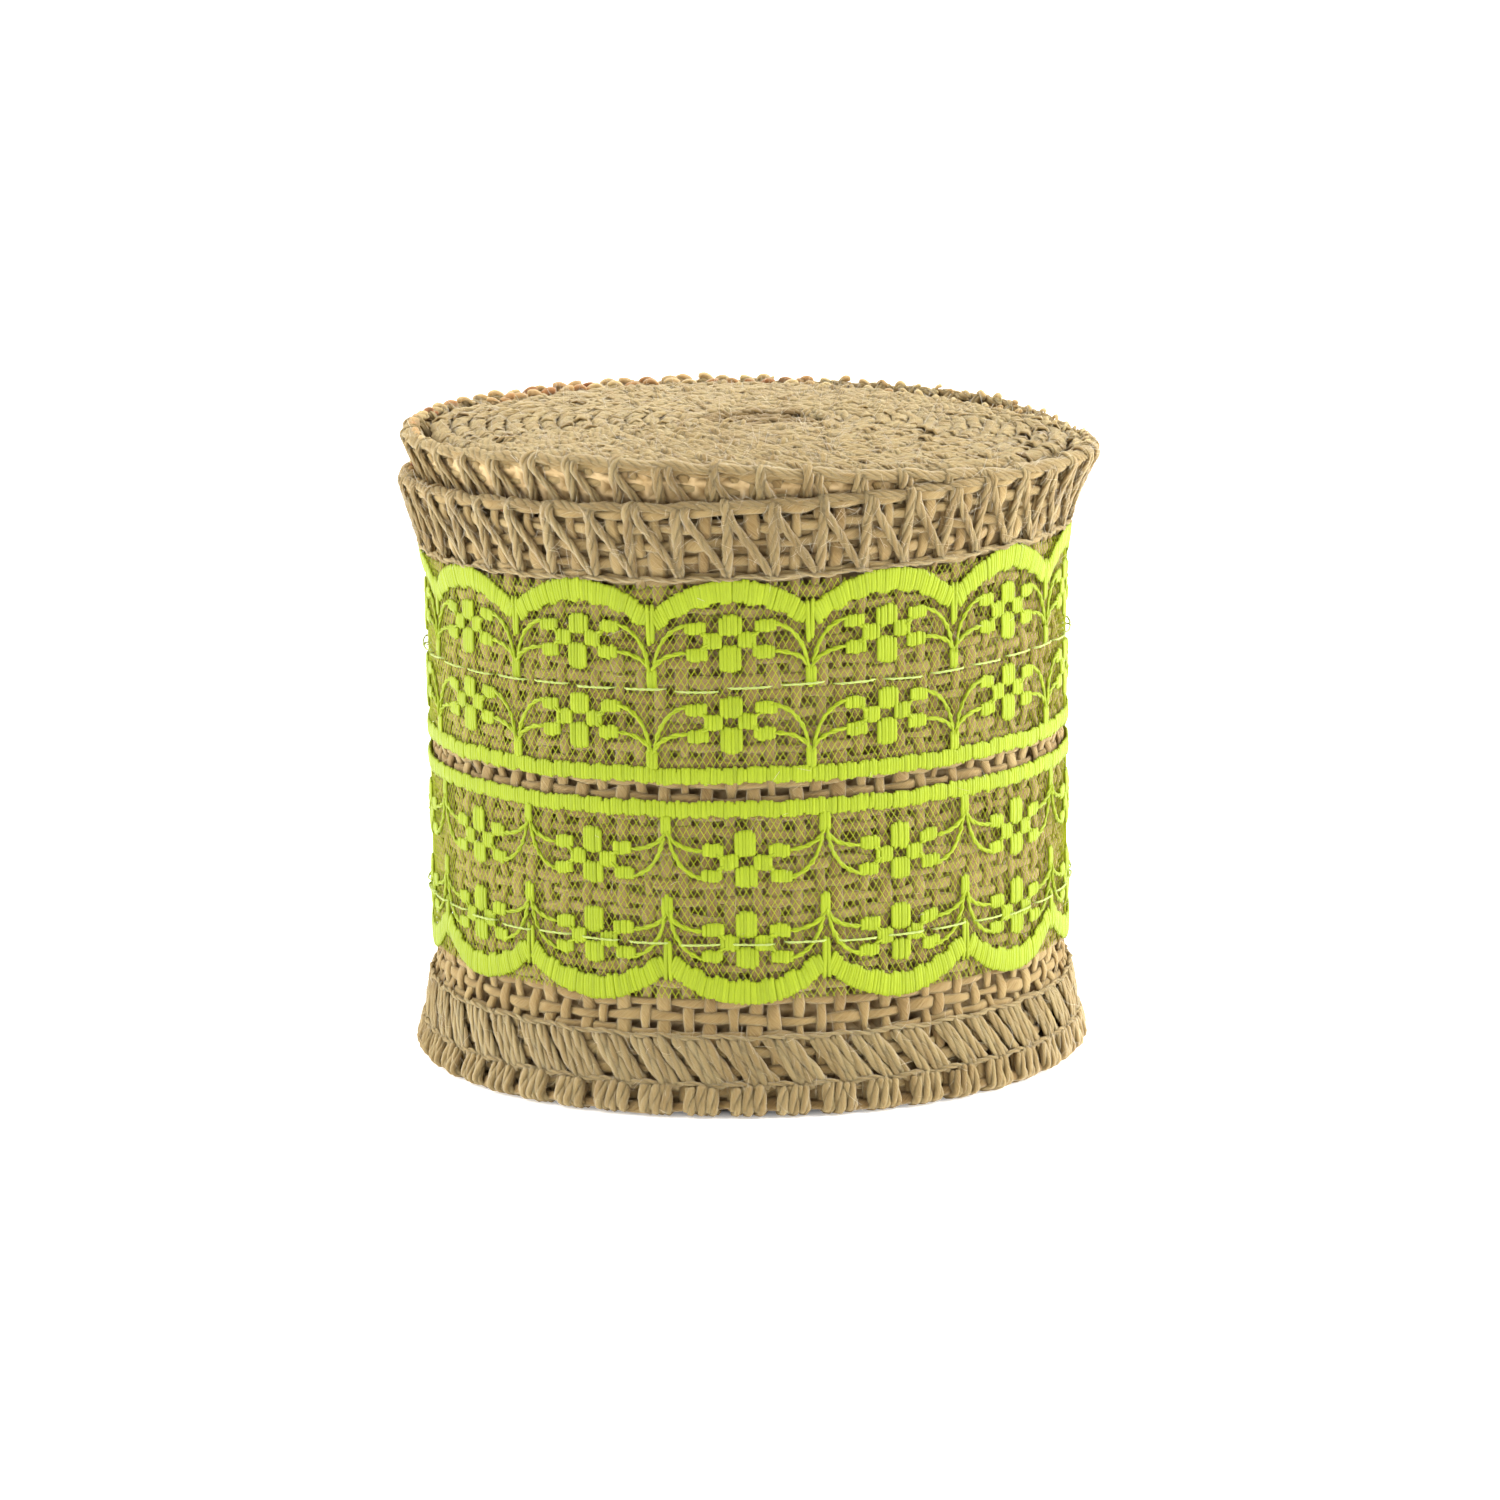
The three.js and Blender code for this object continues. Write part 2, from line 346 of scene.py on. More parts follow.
# Warp-knitted lace of lime polyester: bundles of fine bright threads, so a soft gloss along each thread.
# The noise changes about every 0.06 mm round a bundle, near the gap between real threads.
def knittedLace(name, stops, roughness):
    material, tree, shader = newMaterial(name, roughness, 0.05)
    uv = addNode(tree, "ShaderNodeUVMap", uv_map="yarn")
    split = addNode(tree, "ShaderNodeSeparateXYZ", {"Vector": (uv, "UV")})
    tone = addNode(tree, "ShaderNodeAttribute", attribute_name="tone")
    across = addNode(tree, "ShaderNodeMath", {0: (split, "Y")}, {1: 14.0}, operation="MULTIPLY")
    number = addNode(tree, "ShaderNodeMath", {0: (tone, "Fac")}, {1: 53.0}, operation="MULTIPLY")
    place = addNode(tree, "ShaderNodeCombineXYZ", {"X": (split, "X"), "Y": (across, 0), "Z": (number, 0)})
    thread = addNode(tree, "ShaderNodeTexNoise", {"Vector": (place, 0)}, {"Scale": 1.6, "Detail": 2.0})
    shade = addNode(tree, "ShaderNodeMath", {0: (thread, 0), 2: (tone, "Fac")}, {1: 0.5},
                    operation="MULTIPLY_ADD")
    shade = addNode(tree, "ShaderNodeMath", {0: (shade, 0)}, {1: 0.25}, operation="SUBTRACT")
    ramp = addNode(tree, "ShaderNodeValToRGB", {"Fac": (shade, 0)})
    setRamp(ramp, stops)
    bump = addNode(tree, "ShaderNodeBump", {"Height": (thread, 0)}, {"Strength": 0.5, "Distance": 0.00012})
    tree.links.new(ramp.outputs[0], shader.inputs["Base Color"])
    tree.links.new(bump.outputs[0], shader.inputs["Normal"])
    return material


threadRamps = {
    "lace": [(0.0, "#7a880a"), (0.45, "#8c9c0e"), (1.0, "#9eae18")],
    "net": [(0.0, "#97a010"), (0.5, "#aab516"), (1.0, "#bcc822")],
    "sewing": [(0.0, "#9fae50"), (0.5, "#b1c068"), (1.0, "#c5d288")],
}
lime = knittedLace("lime_knitted_lace", threadRamps["lace"], 0.5)
limeNet = knittedLace("lime_net_ground", threadRamps["net"], 0.55)
paleThread = knittedLace("pale_sewing_thread", threadRamps["sewing"], 0.45)
print("materials made")

# The stretches of the tape, in degrees from the free end. Each tail stretch lists the bodies on either side of
# its hinge and the degrees of its bend.
detailEnd = 458
stretches = [
    {"name": "roll_inner", "low": 276, "high": detailEnd, "bodies": ("roll",)},
    {"name": "roll_outer", "low": 94, "high": 276, "bodies": ("roll",)},
    {"name": "tail_1", "low": 64, "high": 94, "bodies": ("roll", "tail_root"), "bend": (91, 74)},
    {"name": "tail_2", "low": 34, "high": 64, "bodies": ("tail_root", "tail_middle"), "bend": (61, 44)},
    {"name": "tail_3", "low": 0, "high": 34, "bodies": ("tail_middle", "tail_end"), "bend": (31, 14)},
]


# Puts a piece on its stretch's body; a piece over a bend is put on no body and stays where it was made.
def settle(piece, stretch):
    if "bend" in stretch:
        start, end = [onTape(alongAt(b), 0.0, roll["width"] / 2)[0] / 1000 for b in stretch["bend"]]
        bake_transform(piece)
    else:
        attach(piece, stretch["bodies"][0])


# The woven tape. Yarns are (width, depth), and fold is the radius at which the upright ones turn back.
cloth = {
    "uprightPitch": 2.13,
    "roundPitch": 1.66,
    "firstRow": 0.865,
    "upright": (1.22, 0.5),
    "round": (1.02, 0.45),
    "swing": 0.2,  # how far a yarn goes over and under the others
    "low": 0.55,
    "high": 58.8,
    "fold": 0.36,
    "inside": 7.0,  # turned in at each hem
    "fray": 2.4,  # how far round yarns stick out at the free end
}


# Folds an upright yarn round both edges: between the folds out is 0, and past each fold the yarn runs
# back down the inside. q is the distance along the yarn from the middle of the lower fold.
def foldedYarn(q, low, high):
    r = cloth["fold"]
    half = r * math.pi / 2
    total = high - low - 2 * r + 2 * half
    near = q < total / 2
    d = np.where(near, q, total - q)
    turned = np.clip(d / half, -1, 1) * math.pi / 2
    height = np.where(np.abs(d) <= half, r - r * np.cos(turned), r + np.abs(d) - half)
    out = np.where(np.abs(d) <= half, -r + r * np.sin(turned), np.where(d > 0, 0, -2 * r))
    return np.where(near, low + height, high - height), out, total


# Plain weave. Upright yarns swing out by cos(pi (row + number)) and round yarns by its opposite, so that each
# goes over where the other goes under.
def weave(rng, lowAlong, highAlong, low, high, inside, foldLow=True):
    parts = []
    pitch, rise = cloth["uprightPitch"], cloth["roundPitch"]
    first, last = math.ceil(lowAlong / pitch - 0.5), math.ceil(highAlong / pitch - 0.5)
    number = np.arange(first, last)
    _, _, total = foldedYarn(np.zeros(1), low, high)
    q = np.arange(-inside if foldLow else 1.0, total + inside, 0.56)
    height, out, _ = foldedYarn(q, low, high)
    n, m = len(number), len(q)
    weaveRow = (height[None] - cloth["firstRow"]) / rise
    swing = cloth["swing"] * np.cos(math.pi * (weaveRow + number[:, None])) * np.where(out > -0.05, 1, 0.35)
    along = (number[:, None] + 0.5) * pitch + 0.17 * wander(rng, n, height, 9, 40) + rng.normal(0, 0.13, (n, 1))
    thick = 1 + 0.2 * wander(rng, n, height, 3, 20) + rng.normal(0, 0.07, (n, 1))
    centre, away, length, up = onTape(along, out[None] + swing, np.broadcast_to(height, (n, m)))
    tone = np.clip(rng.normal(0.48, 0.08, n), 0.1, 0.95)
    wide, deep = cloth["upright"]
    parts.append(tubes(centre, length, wide * thick, deep * np.clip(thick, 0.8, 1.15), 6, tone))

    rows = np.arange(math.ceil((low - 0.3) / rise - 0.5), math.floor((high + 0.3) / rise - 0.5) + 1)
    heights = rows * rise + cloth["firstRow"]
    steps = max(4, int((highAlong - lowAlong) / 0.6))
    run = np.linspace(lowAlong, highAlong, steps)
    n = len(rows)
    wobble = wander(rng, n, run, 9, 45)
    frayed = lowAlong <= 0.01
    along = np.broadcast_to(run, (n, steps)).copy()
    if frayed:
        along += np.clip((4 - run) / 4, 0, 1) * -rng.uniform(-0.3, cloth["fray"], (n, 1))
    phase = along / pitch - 0.5
    swing = -cloth["swing"] * np.cos(math.pi * (phase + rows[:, None]))
    thick = 1 + 0.2 * wander(rng, n, run, 3, 20)
    height = heights[:, None] + 0.16 * wobble
    centre, away, length, up = onTape(along, swing, height)
    tone = np.clip(rng.normal(0.5, 0.08, n), 0.1, 0.95)
    wide, deep = cloth["round"]
    parts.append(tubes(centre, up, wide * thick, deep * np.clip(thick, 0.8, 1.15), 6, tone))

    inner = heights + rise / 2  # the round yarns of the hems' inner layer
    above = (inner > high - inside) & (inner < high - 1)
    turnedIn = above | ((inner < low + inside) & (inner > low + 1) & foldLow)
    out = swing[turnedIn] - 2 * cloth["fold"]
    centre, away, length, up = onTape(along[turnedIn], out, height[turnedIn] + rise / 2)
    parts.append(tubes(centre, up, wide * 1.1, deep, 5, tone[turnedIn]))
    return together(parts)


# Soft yarns of several plies along paths on the tape. Each ply runs at a quarter of the width and depth from
# the middle, as a helix that turns once in "twist" millimetres. "side" says which way the width lies.
def pliedYarn(rng, along, out, height, side, width, depth, plies=2, twist=5.0, sides=5, tone=0.5):
    centre, away, length, up = onTape(along, out, height)
    if centre.ndim == 2:
        centre, away, length, up = centre[None], away[None], length[None], up[None]
    n = len(centre)
    tangent = unit(np.gradient(centre, axis=1))
    across = {"length": length, "up": up, "away": away}[side] if side != "flat" else np.cross(tangent, away)
    across = unit(across - (across * tangent).sum(-1, keepdims=True) * tangent)
    other = np.cross(tangent, across)
    run = runAlong(centre)
    start = rng.uniform(0, 2 * math.pi, (n, 1))
    parts = []
    for ply in range(plies):
        turn = start + run * 2 * math.pi / twist + ply * 2 * math.pi / plies
        shifted = centre + 0.25 * (
            width * np.cos(turn)[..., None] * across + depth * np.sin(turn)[..., None] * other)
        size = 1 + 0.1 * wander(rng, n, run, 3, 12)
        shade = np.clip(rng.normal(tone, 0.08, n), 0.05, 1)
        parts.append(tubes(shifted, across, width * 0.62 * size, depth * 0.7 * size, sides, shade))
    return together(parts)


# A closed strip of cloth along the tape: at each height it reaches "half" to either side of "middle", and
# its faces rise and fall a little by a product of two waves.
def closedStrip(rng, run, heights, half, middle, tone):
    height = np.concatenate([heights, heights[::-1]])
    out = np.concatenate([half, -np.array(half)[::-1]]) + middle
    along = run[:, None] + np.zeros(len(height))
    out = out + 0.06 * np.sin(along * 1.43) * np.cos(height * 1.57)
    waved = np.broadcast_to(height, along.shape) + 0.15 * wander(rng, 1, run, 8, 40).T
    points, _, _, _ = onTape(along, out, waved)
    n, m = along.shape
    index = np.arange(n * m).reshape(n, m)
    after = np.roll(index, -1, 1)
    quads = np.stack([index[:-1], index[1:], after[1:], after[:-1]], -1).reshape(-1, 4)
    caps = np.stack([index[0], index[-1][::-1]])
    place = np.stack([along.ravel(), np.broadcast_to(height, along.shape).ravel()], -1)
    uv = [place[quads].reshape(-1, 2), place[caps].reshape(-1, 2)]
    return {"points": points.reshape(-1, 3), "faces": [quads, caps], "uv": uv, "tone": np.full(n * m, tone)}


lining = {
    "upper": [51.9, 52.2, 55.0, 57.8, 58.1],
    "lower": [1.6, 1.9, 4.5, 7.3, 7.6],
    "half": [0.03, 0.12, 0.14, 0.12, 0.03],
    "tone": 0.38,
}


# The turned-in layer inside each hem, which closes the gaps between the yarns there.
def hemLining(rng, lowAlong, highAlong, edges=("upper", "lower")):
    run = np.linspace(lowAlong + 0.05, highAlong - 0.05, max(4, int((highAlong - lowAlong) / 1.2)))
    return together([closedStrip(rng, run, lining[edge], lining["half"], -cloth["fold"], lining["tone"])
                     for edge in edges])


overlock = {
    "pitch": 4.22,  # from one stitch to the next
    "needleTop": 52.55,  # heights of the needle line and of the edge above, and of the two lines below
    "edge": 59.2,
    "needleLow": 7.5,
    "middleLow": 3.0,
    "lowerShift": 1.3,  # the lower stitches start this much later
    "upright": (1.0, 0.5),  # width and depth of each yarn
    "slant": (0.85, 0.42),
    "needle": (0.5, 0.42),
    "roll": (1.3, 0.7),
    "tooth": (1.25, 0.9),
    "lowerSlant": (1.15, 0.5),
    "middle": (0.5, 0.4),
}


def stitchWave(run):
    return run * 2 * math.pi / overlock["pitch"]


# Where each overlock stitch starts between two places on the tape.
def stitchesIn(lowAlong, highAlong, shift=0.0):
    pitch = overlock["pitch"]
    first, last = math.ceil((lowAlong - shift) / pitch), math.ceil((highAlong - shift) / pitch)
    return np.arange(first, last) * pitch + shift


# A path that climbs the outer face, goes round the upper edge and comes down inside. The bend is a
# superellipse, half times a power of the cosine and the sine. t runs 0 to 1 up the face, 1 to 2 round the
# edge and 2 to 3 down the inside.
def overEdge(t, face, inside, bottom, edge, down, power=0.7):
    half = (face - inside) / 2
    turned = (np.clip(t, 1, 2) - 1) * math.pi
    out = (face + inside) / 2 + half * np.sign(np.cos(turned)) * np.abs(np.cos(turned)) ** power
    bend = edge - half + half * np.maximum(np.sin(turned), 0) ** power
    height = np.where(t < 1, bottom + (edge - half - bottom) * t, bend)
    return out, np.where(t > 2, edge - half - (t - 2) * down, height)


# The upper edge: an upright and a slanting stroke to each stitch, a needle thread and a looped roll.
def upperOverlock(rng, lowAlong, highAlong):
    starts = stitchesIn(lowAlong, highAlong)[:, None]
    n = len(starts)
    t = np.linspace(0, 2.9, 26)[None]

    def jitter(size):
        return rng.normal(0, size, (n, 1))

    out, height = overEdge(t, 0.58, -1.15, overlock["needleTop"], overlock["edge"] + 0.35, 3.0)
    out, height = np.repeat(out, n, 0), np.repeat(height, n, 0) + jitter(0.12)
    along = starts + jitter(0.15) + 0.1 * np.sin(t * 2 + jitter(2))
    parts = [pliedYarn(rng, along, out, height, "length", *overlock["upright"], 3, 6.0, tone=0.47)]
    # the slanting stroke, from the edge down to the next needle hole
    out, height = overEdge(t, 0.66, -1.1, overlock["needleTop"], overlock["edge"] + 0.3, 2.5)
    lean = np.clip(1 - t, 0, 1) * (overlock["pitch"] - 0.4) + 0.5
    out, height = np.repeat(out, n, 0), np.repeat(height, n, 0) + jitter(0.12)
    along = starts + lean + jitter(0.2)
    parts.append(pliedYarn(rng, along, out, height, "length", *overlock["slant"], 3, 5.5, tone=0.42))
    # the needle thread and the looped roll along the edge
    run = np.arange(lowAlong, highAlong + 0.25, 0.5)[None]
    out, height = 0.62 + 0.12 * np.cos(stitchWave(run)), overlock["needleTop"] - 0.1 + 0.12 * np.sin(run * 1.3)
    parts.append(pliedYarn(rng, run, out, height, "up", *overlock["needle"], 2, 3.0, tone=0.55))
    out, height = -0.25 + 0.15 * np.sin(run * 0.9), 59.4 + 0.1 * np.sin(stitchWave(run))
    parts.append(pliedYarn(rng, run, out, height, "away", *overlock["roll"], 4, 4.4, tone=0.46))
    return together(parts)


# The lower edge: teeth of three yarns, three slanting yarns above each, and the two lines of thread.
def lowerOverlock(rng, lowAlong, highAlong):
    parts = []
    starts = stitchesIn(lowAlong, highAlong, overlock["lowerShift"])[:, None]
    n = len(starts)
    middle, needle = overlock["middleLow"], overlock["needleLow"]

    def jitter(size):
        return rng.normal(0, size, (n, 1))

    t = np.linspace(0, 2.9, 22)[None]
    for k in (-1, 0, 1):
        out, height = overEdge(t, 0.72, -1.15, -middle + 0.1 * abs(k), -0.46 - 0.05 * abs(k), 2.2, 0.33)
        out, height = np.repeat(out, n, 0), -np.repeat(height, n, 0) + jitter(0.1) * np.clip(1.5 - t, 0, 1)
        along = starts + 1.02 * k * (1 - 0.12 * np.clip(1 - t, 0, 1)) + jitter(0.06)
        parts.append(pliedYarn(rng, along, out, height, "length", *overlock["tooth"], 3, 7.0, tone=0.5))
    t = np.linspace(0, 1, 12)[None]
    for k in (0, 1, 2):
        along = starts + (1 - t) * 3.6 - 2.6 + 1.05 * k + jitter(0.15)
        out = 0.6 + 0.12 * np.sin(t * math.pi) + 0 * along
        height = middle - 0.3 + (needle - middle + 0.3) * t + jitter(0.1)
        parts.append(pliedYarn(rng, along, out, height, "flat", *overlock["lowerSlant"], 3, 7.0, tone=0.52))
    run = np.arange(lowAlong, highAlong + 0.25, 0.5)[None]
    wave = np.cos(stitchWave(run))
    height = needle + 0.12 * np.sin(run * 1.1)
    parts.append(pliedYarn(rng, run, 0.66 + 0.12 * wave, height, "up", *overlock["needle"], 2, 3.0, tone=0.55))
    height = middle + 0.1 * np.sin(run * 1.5)
    parts.append(pliedYarn(rng, run, 0.82 + 0.16 * wave, height, "up", *overlock["middle"], 2, 3.0, tone=0.5))
    return together(parts)


knots = {
    "shifts": (0.1, 2.1),  # two for each stitch
    "arches": ((0.75, 0.45, 0.85), (0.5, 0.1, 0.8), (0.8, -0.1, 0.6)),  # reach, lift and thickness
    "height": 59.6,
    "frontDrop": 0.9,  # they lie lower at the front
}


# Knots on the inner side of the upper edge: short thick arches of yarn that cross, each raised by a parabola.
def edgeKnots(rng, lowAlong, highAlong):
    starts = np.concatenate([stitchesIn(lowAlong, highAlong, shift) for shift in knots["shifts"]])
    n = len(starts)
    angle = np.radians(roll["freeEndAngle"] + backAt(starts))
    right = np.clip(np.cos(angle) * 2, 0, 1)  # small and plain there
    front = np.clip(-np.sin(angle) + 0.5, 0, 1)[:, None]
    bulk = rng.uniform(0.65, 1.1, (n, 1)) * (1 - 0.4 * right[:, None])
    tone = np.clip(rng.uniform(0.0, 1, n) ** 0.8 + 0.5 * right, 0, 1)
    t = np.linspace(-1, 1, 9)[None]
    parts = []
    for reach, lift, thick in knots["arches"]:
        along = starts[:, None] + reach * t + rng.normal(0, 0.2, (n, 1))
        arch = lift * (1 - t * t) * rng.uniform(0.5, 1.2, (n, 1))
        height = knots["height"] - knots["frontDrop"] * front + arch + rng.normal(0, 0.2, (n, 1)) * t
        centre, _, _, up = onTape(along, -0.75 + 0.35 * t * reach + 0 * along, height)
        parts.append(tubes(centre, up, thick * bulk, thick * 0.85 * bulk, 6, tone, 0.35))
    return together(parts)


lace = {
    "pitch": 15.05,  # one repeat
    "width": 20.0,
    "out": 0.74,
    "flower": (6.0, 13.9),  # middles of the two rows of flowers, from the straight edge
    "upper": {"edge": 32.4, "up": 1, "phase": 191.4, "seam": 41.7},
    "lower": {"edge": 30.75, "up": -1, "phase": 193.6, "seam": 16.75},
    "detail": 0.31,  # from one thread bundle to the next
    "bundle": (0.5, 0.3),
    "cord": (0.5, 0.36),
    "scallopRadius": 10.4,
    "scallopBundle": 2.4,
    "netGap": 0.66,
    "netThread": (0.08, 0.06),
    "netSlope": 0.6,
    "stitch": 5.0,  # of the seam
    "stitchLength": 4.2,
}

# Outline of one flower as rounded blocks: middle x, middle y, half width and half height.
flowerBlocks = [
    (0.05, 1.45, 0.98, 1.05), (0, -1.75, 0.95, 1.3), (1.6, 0.05, 0.8, 0.78), (-1.6, 0.05, 0.8, 0.78),
    (3.35, 1.35, 0.95, 0.62), (-3.25, 1.3, 0.95, 0.6), (3.15, -1.2, 0.95, 0.66), (-3.1, -1.25, 0.95, 0.66),
]


# The upright bundles that fill a rounded block: their half height follows a superellipse,
# halfHigh (1 - |x / halfWide|^4)^(1/4).
def blockBundles(x, y, halfWide, halfHigh, pitch):
    count = max(3, round(2 * halfWide / pitch))
    at = (np.arange(count) + 0.5) / count * 2 - 1
    tall = halfHigh * (1 - np.abs(at) ** 4) ** 0.25
    return [(x + a * halfWide, y - t, x + a * halfWide, y + t) for a, t in zip(at, tall)]


# One repeat of the lace as straight bundles, (x, v) to (x, v), with v from the straight edge, and as
# curved cords. The scallop is an arc of a circle between two valleys, and its bundles stand nearly upright:
# they lean by a little over half of the arc's own angle.
def laceRepeat():
    pitch, half = lace["detail"], lace["pitch"] / 2
    bundles = []
    count = round(lace["pitch"] / pitch)
    for k in range(count):
        x = -half + (k + 0.5) * lace["pitch"] / count
        tooth = abs(math.sin(math.pi * k / 7)) ** 0.5  # seven threads make one rounded tooth
        bundles.append((x, 0.2 - 0.2 * tooth, x, 1.42 + 0.22 * tooth))
    for c in lace["flower"]:
        for block in flowerBlocks:
            bundles += blockBundles(block[0], c + block[1], block[2], block[3], pitch)
    radius = lace["scallopRadius"]
    reach = math.asin(half / radius)
    count = round(2 * reach * radius / pitch)
    for k in range(count):
        a = -reach + (k + 0.5) * 2 * reach / count
        step = 0.22 * (k // 4 % 2)  # four threads make one step of the inner edge
        long, lean = lace["scallopBundle"] - step - 0.5 * (a / reach) ** 2, 0.55 * a
        x, v = radius * math.sin(a), lace["width"] - radius + radius * math.cos(a)
        bundles.append((x - long * math.sin(lean), v - long * math.cos(lean), x, v))
    for foot, top in ((1.3, 3.3), (9.2, 11.2)):  # stems at the valleys
        for k in (-1, 0, 1):
            bundles.append((half + 0.27 * k, foot + 0.15 * abs(k), half + 0.3 * k, top))
    for k in (-0.5, 0.5):
        bundles.append((half + 0.3 * k, 13.6 + 0.2 * k, half + 0.5 * k, 17.6))
    cords = []
    for c, top in ((lace["flower"][0], 2.9), (lace["flower"][1], 10.8)):
        for s in (-1, 1):
            for rise, shift in ((1.6, 0.25), (-1.1, 0.12)):  # quarter ellipses from stem to outer block
                t = np.linspace(0, math.pi / 2, 9)
                x = half - s * (shift + (half - 4.0) * (1 - np.cos(t)))
                cords.append(np.stack([x, top + (c + rise - top) * np.sin(t)], -1))
            t = np.linspace(0, 1, 5)  # short bridges from the side petals to the blocks
            for v in (-1, 1):
                cords.append(np.stack([s * (2.0 + 0.7 * t), c + v * (0.3 + 0.6 * t)], -1))
    return np.array(bundles), cords


laceBundles, laceCords = laceRepeat()


# Repeats that have their middle in a stretch, carried to the tape: v goes up from the upper strip's
# straight edge and down from the lower one's.
def laceStrip(rng, side, lowAlong, highAlong):
    strip = lace[side]
    phase = alongAt(strip["phase"])
    first = math.floor((lowAlong - phase) / lace["pitch"]) - 1
    last = math.ceil((highAlong - phase) / lace["pitch"]) + 1
    middles = phase + np.arange(first, last + 1) * lace["pitch"]
    t = np.array([0, 0.12, 0.5, 0.88, 1])
    x = laceBundles[:, 0:1] + (laceBundles[:, 2:3] - laceBundles[:, 0:1]) * t
    v = laceBundles[:, 1:2] + (laceBundles[:, 3:4] - laceBundles[:, 1:2]) * t
    along = (middles[:, None, None] + x[None]).reshape(-1, len(t))
    height = np.broadcast_to(strip["edge"] + strip["up"] * v, (len(middles),) + v.shape).reshape(-1, len(t))
    kept = (along.mean(1) >= lowAlong) & (along.mean(1) < highAlong)
    along, height = along[kept], height[kept]
    n = len(along)
    along = along + rng.normal(0, 0.04, (n, 1))
    height = height + rng.normal(0, 0.06, (n, 1)) + 0.05 * wander(rng, 1, along[:, :1].T, 5, 20).T
    out = lace["out"] + 0.06 * np.sin(math.pi * t) + rng.normal(0, 0.012, (n, 1))
    centre, away, length, up = onTape(along, out, height)
    tangent = unit(np.gradient(centre, axis=1))
    tone = np.clip(rng.normal(0.5, 0.1, n), 0.1, 1)
    parts = [tubes(centre, np.cross(tangent, away), *lace["bundle"], 6, tone, 0.7)]
    for cord in laceCords:
        along = middles[:, None] + cord[None, :, 0]
        height = np.broadcast_to(strip["edge"] + strip["up"] * cord[None, :, 1], along.shape)
        kept = (along.mean(1) >= lowAlong) & (along.mean(1) < highAlong)
        if kept.any():
            along, height = along[kept], height[kept]
            out = np.full(along.shape, lace["out"] + 0.05)
            parts.append(pliedYarn(rng, along, out, height, "flat", *lace["cord"], 2, 2.2, 5, tone=0.5))
    return together(parts)


# The net ground: two families of fine slanting threads over the whole strip.
def laceNet(rng, side, lowAlong, highAlong):
    strip, gap = lace[side], lace["netGap"]
    parts = []
    for lean in (-1, 1):
        starts = np.arange(math.ceil((lowAlong - 12) / gap), math.floor((highAlong + 12) / gap)) * gap
        v = np.linspace(0.3, lace["width"] - 0.5, 12)
        slanted = starts[:, None] + lace["netSlope"] * lean * (v - lace["width"] / 2)
        along = slanted + 0.05 * wander(rng, len(starts), v, 2, 6)
        kept = (along.min(1) >= lowAlong - 6) & (along.max(1) <= highAlong + 6)
        along = np.clip(along[kept], lowAlong - 0.02, highAlong + 0.02)
        height = np.broadcast_to(strip["edge"] + strip["up"] * v, along.shape)
        centre, away, length, up = onTape(along, lace["out"] - 0.12 + 0.03 * lean, height)
        tone = np.clip(rng.normal(0.5, 0.1, len(along)), 0, 1)
        parts.append(tubes(centre, length, *lace["netThread"], 3, tone, 1.0))
    return together(parts)


# Running stitches: each dips in at its ends by a sixth power.
def laceStitching(rng, height, lowAlong, highAlong):
    pitch = lace["stitch"]
    starts = np.arange(math.ceil(lowAlong / pitch), math.ceil(highAlong / pitch)) * pitch
    n = len(starts)
    t = np.linspace(0, 1, 11)[None]
    along = starts[:, None] + 0.4 + lace["stitchLength"] * t
    high = height + rng.normal(0, 0.1, (n, 1)) + rng.normal(0, 0.12, (n, 1)) * (t - 0.5)
    out = lace["out"] + 0.42 - 0.5 * (2 * t - 1) ** 6 + 0 * along
    return pliedYarn(rng, along, out, high, "up", 0.24, 0.22, 2, 1.5, 4, tone=0.5)


fuzz = {
    "tape": 2600,  # for each 180 mm
    "coil": 2200,
    "thick": 0.04,
    # each spot is the lowest and highest root of a fibre, and its distance out
    "tapeSpots": [(53, 59.5, 0.9), (53, 59.5, 0.9), (0.6, 8, 0.9), (8, 52, 0.45), (59.0, 59.8, -0.3)],
    "coilSpots": [(59.0, 59.8, 0.3), (59.2, 60.0, -0.2), (59.0, 59.8, -0.7), (0.3, 0.8, -0.2)],
}


# Loose fibres: each leaves the cloth and bends away from its first direction by a parabola.
def looseFibres(rng, count, lowAlong, highAlong, spots, long=(0.6, 1.8)):
    low, high, face = [np.array(v) for v in zip(*spots)]
    pick = rng.integers(0, len(spots), count)
    along = rng.uniform(lowAlong, highAlong, count)
    height = low[pick] + (high - low)[pick] * rng.random(count)
    base, away, length, up = onTape(along, face[pick], height)
    first = away * rng.uniform(0.0, 0.45, (count, 1)) + length * rng.normal(0, 0.8, (count, 1))
    first = unit(first + up * rng.normal(0, 0.8, (count, 1)))
    bend = unit(rng.normal(0, 1, (count, 3)) + 0.2 * away)
    size = rng.uniform(*long, (count, 1, 1))
    t = np.linspace(0, 1, 6)[None, :, None]
    path = base[:, None] + size * (t * first[:, None] + 0.45 * t * t * bend[:, None])
    path[..., 2] = np.maximum(path[..., 2], 0.1)
    side = np.broadcast_to(bend[:, None], path.shape)
    return tubes(path, side, fuzz["thick"], fuzz["thick"], 3, rng.uniform(0.2, 1, count), 0.5)


